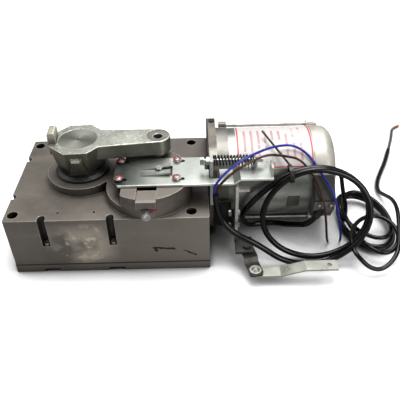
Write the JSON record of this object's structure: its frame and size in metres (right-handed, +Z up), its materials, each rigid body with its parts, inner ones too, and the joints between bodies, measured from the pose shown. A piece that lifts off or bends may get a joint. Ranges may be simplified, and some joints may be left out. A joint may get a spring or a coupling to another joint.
{
  "type": "gear motor",
  "caption": "Right-angle gear motor with a cast gearbox, crank arm on an upright output shaft, sprung release plate, swinging release link and loose cables.",
  "frame": {"origin": "on the base plane, under the output shaft's axis", "axes": "+X from the gearbox towards the motor, +Y to the back, +Z up along the output shaft"},
  "size_m": [0.5038, 0.3126, 0.133],
  "materials": {
    "cast_alloy": "cast, worn",
    "crank_zinc": "forged, zinc plated",
    "plate_zinc": "zinc plated sheet",
    "steel": "turned",
    "dark_steel": "blackened",
    "bronze": "sintered",
    "seal_rubber": "moulded",
    "gasket": "cut sheet",
    "stator_silver": "rolled",
    "bell_alloy": "die cast",
    "lamination": "stacked",
    "copper": "enamelled",
    "terminal_grey": "moulded",
    "black_plastic": "moulded",
    "cable_black": "satin",
    "blue_insulation": "satin",
    "brown_insulation": "satin"
  },
  "bodies": {
    "housing": {"gear_housing": "cast_alloy", "base_cover": "cast_alloy", "base_gasket": "gasket", "base_cover_screws": "steel", "upper_bush": "bronze", "lower_bush": "bronze", "shaft_seal": "seal_rubber", "idler_bush": "bronze", "worm_end_bush": "bronze", "wall_seal": "seal_rubber", "flange_gasket": "gasket", "motor_flange": "bell_alloy", "flange_screws": "steel", "flange_plug": "black_plastic", "front_bell": "bell_alloy", "stator_shell": "stator_silver", "stator_core": "lamination", "stator_windings": "copper", "motor_bearings": "steel", "rear_bell": "bell_alloy", "tie_rods": "steel", "guide_studs": "plate_zinc", "slot_block": "cast_alloy", "adjusting_screw": "steel", "adjuster_locknut": "steel", "spring_bracket": "plate_zinc", "spring_rod": "steel", "rod_nut": "steel", "release_spring": "dark_steel", "strut_bracket": "dark_steel", "strut_plate": "plate_zinc", "strut_bolts": "steel", "terminal_cover": "terminal_grey", "terminal_base": "terminal_grey", "cable_grommets": "black_plastic", "motor_lead": "cable_black", "blue_wire": "blue_insulation", "brown_wire": "brown_insulation", "signal_lead": "cable_black", "signal_tail": "cable_black", "signal_core": "copper", "signal_coil": "cable_black", "cable_tie": "black_plastic"},
    "crank": {"output_shaft": "steel", "output_gear": "steel", "dust_seal": "seal_rubber", "crank_arm": "crank_zinc"},
    "idler": {"idler_gear": "steel", "idler_shaft": "steel"},
    "pinion": {"pinion_gear": "steel", "pinion_shaft": "steel", "worm_wheel": "bronze"},
    "rotor": {"motor_shaft": "steel", "worm": "steel", "rotor_core": "lamination"},
    "plate": {"release_plate": "plate_zinc"},
    "pin": {"release_pin": "steel"},
    "strap": {"release_strap": "plate_zinc"},
    "link": {"joggled_link": "plate_zinc"}
  },
  "joints": [
    {"name": "rotor_spin", "type": "hinge", "parent": "housing", "child": "rotor", "pos_m": [0, 0.0199, 0.0586], "axis": [1, 0, 0], "range_deg": [0, 22080]},
    {"name": "pinion_spin", "type": "hinge", "parent": "housing", "child": "pinion", "pos_m": [0.10471, -0.0066, 0], "axis": [0, 0, 1], "range_deg": [0, 691]},
    {"name": "idler_spin", "type": "hinge", "parent": "housing", "child": "idler", "pos_m": [0.07494, -0.0314, 0], "axis": [0, 0, 1], "range_deg": [-436, 0]},
    {"name": "crank_turn", "type": "hinge", "parent": "housing", "child": "crank", "pos_m": [0, 0, 0], "axis": [0, 0, 1], "range_deg": [0, 180.01]},
    {"name": "plate_slide", "type": "slide", "parent": "housing", "child": "plate", "axis": [-1, 0, 0], "range_m": [0, 0.006], "stiffness_N_per_m": 700, "springref_m": -0.002, "deforming": ["release_spring"]},
    {"name": "pin_lift", "type": "slide", "parent": "housing", "child": "pin", "axis": [0, 0, 1], "range_m": [0, 0.0008]},
    {"name": "strap_swing", "type": "hinge", "parent": "housing", "child": "strap", "pos_m": [0.1779, -0.069, 0.0177], "axis": [0, 0, 1], "range_deg": [-35, 4]},
    {"name": "link_swing", "type": "hinge", "parent": "strap", "child": "link", "pos_m": [0.1847, -0.097, 0.0127], "axis": [0, 0, 1], "range_deg": [-70, 4]}
  ],
  "couplings": [
    {"joint": "pinion_spin", "follows": "rotor_spin", "ratio": 0.03125},
    {"joint": "idler_spin", "follows": "rotor_spin", "ratio": -0.019737},
    {"joint": "crank_turn", "follows": "rotor_spin", "ratio": 0.0081522},
    {"joint": "pin_lift", "follows": "plate_slide", "ratio": 0.12698}
  ]
}
